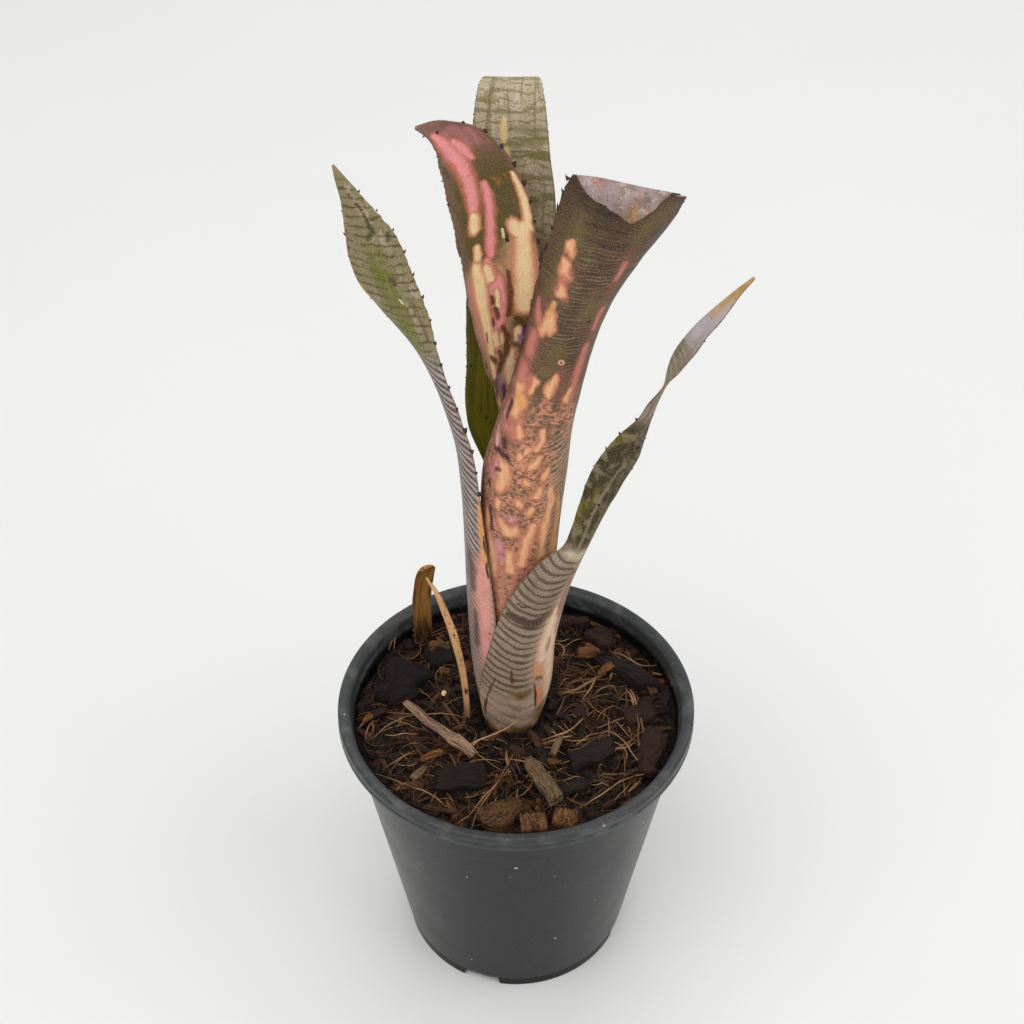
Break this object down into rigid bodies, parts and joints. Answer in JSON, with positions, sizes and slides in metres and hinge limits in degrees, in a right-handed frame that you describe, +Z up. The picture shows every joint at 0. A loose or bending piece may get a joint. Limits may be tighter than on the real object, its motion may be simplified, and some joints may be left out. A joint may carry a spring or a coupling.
{
  "type": "potted billbergia",
  "caption": "Tube-shaped bromeliad with spiny, spotted and banded leaves, growing in bark mix in a tapered plastic nursery pot.",
  "frame": {"origin": "on the surface that the pot stands on, under the middle of the pot's rim", "axes": "+Z up the pot and the plant, -Y towards the side that the picture shows"},
  "size_m": [0.13, 0.13, 0.3441],
  "materials": {
    "pot_plastic": "satin charcoal plastic with chalky scuffs on the rim",
    "potting_mix": "damp, crumbly bark and fibre",
    "dark_bark": "damp dark bark, matt",
    "tan_bark": "dry weathered bark and wood, with grain",
    "stem": "dry brown, fibrous",
    "hooded_leaf": "smooth, olive brown with pink and cream stripes and patches",
    "tall_leaf": "scurfy silver grey with olive crossbands, green lower down",
    "funnel_leaf": "scurfy taupe with fine silver crossbands and peach spots",
    "banded_leaf": "scurfy grey with dark chevron crossbands and a green middle",
    "dry_leaf": "papery, dry, tan to brown"
  },
  "bodies": {
    "root": {"pot": "pot_plastic", "potting_mix": "potting_mix", "bark_1": "dark_bark", "bark_2": "dark_bark", "bark_3": "tan_bark", "bark_4": "dark_bark", "bark_5": "tan_bark", "bark_6": "tan_bark", "bark_7": "tan_bark", "bark_8": "tan_bark", "bark_9": "dark_bark", "bark_10": "tan_bark", "bark_11": "dark_bark", "bark_12": "dark_bark", "bark_13": "dark_bark", "bark_14": "dark_bark", "bark_15": "dark_bark", "stem_base": "stem", "leaf_hood": "hooded_leaf", "leaf_tall": "tall_leaf", "leaf_funnel": "funnel_leaf", "leaf_left": "banded_leaf", "leaf_right": "banded_leaf", "leaf_old": "banded_leaf", "leaf_stub": "dry_leaf", "leaf_bract": "dry_leaf"}
  },
  "joints": []
}
